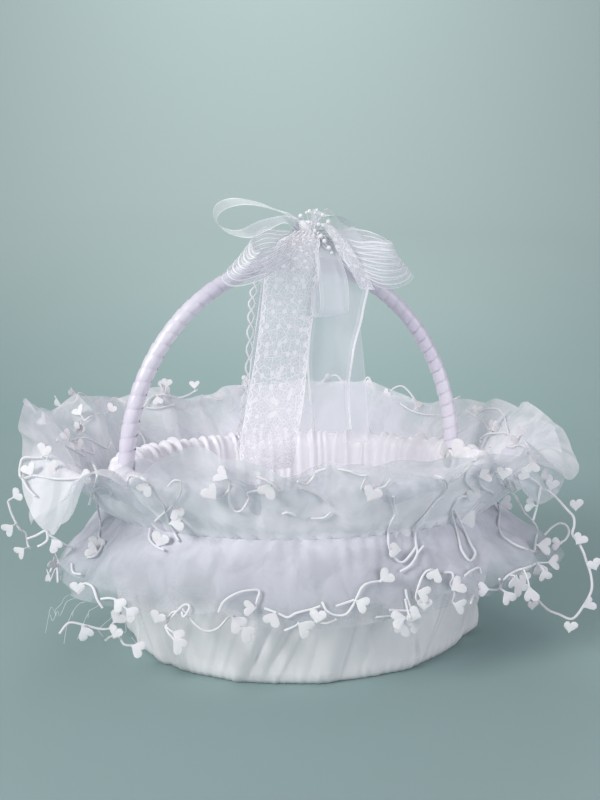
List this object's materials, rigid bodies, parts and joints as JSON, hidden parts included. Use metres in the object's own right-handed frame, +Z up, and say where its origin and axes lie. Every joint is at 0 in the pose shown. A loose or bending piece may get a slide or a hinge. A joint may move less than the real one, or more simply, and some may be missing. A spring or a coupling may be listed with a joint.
{
  "type": "flower girl basket",
  "caption": "Round white satin wedding basket with a fixed arched handle, gathered tulle ruffle edged with heart vines, and a ribbon and lace bow.",
  "frame": {"origin": "centre of the basket's flat underside, on the surface it stands on", "axes": "+X along the handle's span, +Y to the back (the bow's tails hang on the -Y side), +Z up"},
  "size_m": [0.377, 0.3556, 0.2763],
  "materials": {
    "satin": "white polyester satin, soft sheen",
    "tulle": "sheer white bridal tulle, gathered",
    "vine_cord": "white fabric cord with cut satin hearts",
    "ribbon_wrap": "white satin ribbon wound in a spiral",
    "organza": "sheer white organza ribbon with woven edges",
    "lace": "white lace ribbon",
    "pearl": "small white pearl and clear beads on wires",
    "cane": "plain cane, hidden under the cloth",
    "wood_board": "thin plywood base, hidden"
  },
  "bodies": {
    "root": {"underside_cover": "satin", "base_board": "wood_board", "wicker_wall": "cane", "upright_01": "cane", "upright_02": "cane", "upright_03": "cane", "upright_04": "cane", "upright_05": "cane", "upright_06": "cane", "upright_07": "cane", "upright_08": "cane", "upright_09": "cane", "upright_10": "cane", "upright_11": "cane", "upright_12": "cane", "upright_13": "cane", "upright_14": "cane", "upright_15": "cane", "upright_16": "cane", "rim_hoop": "cane", "outer_cover": "satin", "satin_lining": "satin", "floor_pad": "satin", "gather_tape": "satin", "tulle_lower": "tulle", "tulle_upper": "tulle", "vine_upper": "vine_cord", "vine_lower": "vine_cord", "vine_loop_right": "vine_cord", "foot_petals_right": "vine_cord", "handle_rod": "cane", "handle_wrap": "ribbon_wrap", "bow_knot": "organza", "organza_loop_left": "organza", "organza_loop_right": "organza", "lace_loop_left": "lace", "lace_loop_right": "lace", "lace_tail_wide": "lace", "lace_tail_narrow": "lace", "organza_tail_left": "organza", "organza_tail_right": "organza", "organza_tail_back": "organza", "organza_front_loop": "organza", "pearl_spray": "pearl"}
  },
  "joints": []
}
